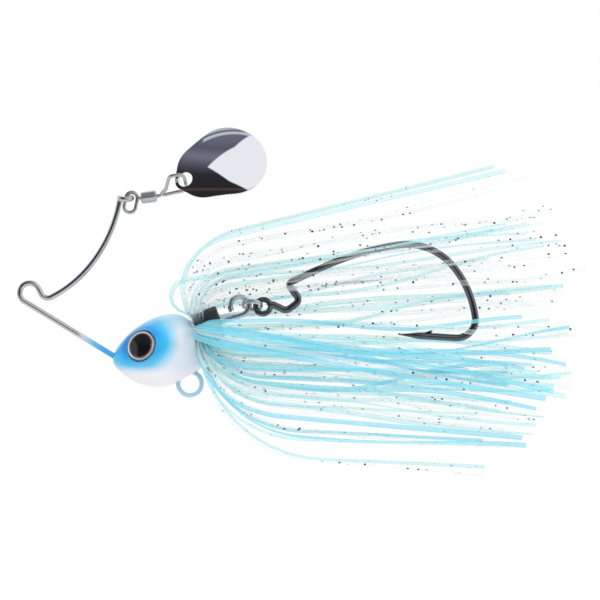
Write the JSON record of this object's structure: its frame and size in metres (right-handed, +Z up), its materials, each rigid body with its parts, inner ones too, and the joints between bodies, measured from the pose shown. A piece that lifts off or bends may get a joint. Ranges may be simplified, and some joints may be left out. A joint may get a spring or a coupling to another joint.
{
  "type": "spinnerbait",
  "caption": "Spinnerbait lure: bent wire arm with a spinning blade, painted fish head, fringed silicone skirt and a hook that swings on a split ring.",
  "frame": {"origin": "centre of the round bend where the line is tied", "axes": "+X back along the lure towards the tips of the skirt, +Z up towards the blade, +Y towards the far side; the wire lies in the XZ plane"},
  "size_m": [0.0909, 0.0271, 0.056],
  "materials": {
    "stainless_wire": "bright drawn stainless wire",
    "painted_ring": "gloss pale blue paint over a steel ring",
    "painted_lead": "gloss paint, blue at the nose to lavender white at the back",
    "eye_foil": "printed silver foil with a dark pupil",
    "eye_resin": "clear domed resin",
    "black_rubber": "matt moulded rubber",
    "swivel_steel": "nickel plated steel",
    "plated_blade": "mirror plated sheet",
    "split_ring_steel": "nickel plated spring wire",
    "black_nickel": "black nickel plated hook wire",
    "silicone_outer": "translucent pale cyan silicone with fine flake",
    "silicone_inner": "translucent brighter blue silicone with fine flake"
  },
  "bodies": {
    "lure": {"main_wire": "stainless_wire", "head": "painted_lead", "belly_eye": "painted_ring", "near_eye_foil": "eye_foil", "near_eye_dome": "eye_resin", "far_eye_foil": "eye_foil", "far_eye_dome": "eye_resin", "skirt_collar": "black_rubber", "skirt_near_upper_outer_tab": "silicone_outer", "skirt_near_upper_inner_tab": "silicone_inner", "skirt_near_lower_outer_tab": "silicone_outer", "skirt_near_lower_inner_tab": "silicone_inner", "skirt_far_upper_outer_tab": "silicone_outer", "skirt_far_upper_inner_tab": "silicone_inner", "skirt_far_lower_outer_tab": "silicone_outer", "skirt_far_lower_inner_tab": "silicone_inner"},
    "front_eye": {"swivel_front_eye": "swivel_steel"},
    "barrel": {"swivel_barrel": "swivel_steel"},
    "rear_eye": {"swivel_rear_eye": "swivel_steel"},
    "blade": {"blade": "plated_blade"},
    "split_ring": {"split_ring": "split_ring_steel"},
    "hook": {"hook": "black_nickel"}
  },
  "joints": [
    {"name": "swivel_hang", "type": "hinge", "parent": "lure", "child": "front_eye", "pos_m": [0.01652, -0.00063, 0.01527], "axis": [0, -1, 0], "range_deg": [-8, 95]},
    {"name": "barrel_turn", "type": "hinge", "parent": "front_eye", "child": "barrel", "pos_m": [0.01929, -0.00063, 0.01542], "axis": [0.991, 0, 0.134], "continuous": true},
    {"name": "blade_spin", "type": "hinge", "parent": "barrel", "child": "rear_eye", "pos_m": [0.01929, -0.00063, 0.01542], "axis": [0.991, 0, 0.134], "continuous": true},
    {"name": "blade_flap", "type": "hinge", "parent": "rear_eye", "child": "blade", "pos_m": [0.02521, -0.00217, 0.01808], "axis": [-0.4234, 0.2588, 0.8682], "range_deg": [-8, 25]},
    {"name": "ring_swing", "type": "hinge", "parent": "lure", "child": "split_ring", "pos_m": [0.03537, 0, -0.00209], "axis": [0, 1, 0], "range_deg": [-12, 5]},
    {"name": "hook_swing", "type": "hinge", "parent": "split_ring", "child": "hook", "pos_m": [0.03744, -0.00009, -0.00213], "axis": [0, 1, 0], "range_deg": [-10, 10]}
  ]
}
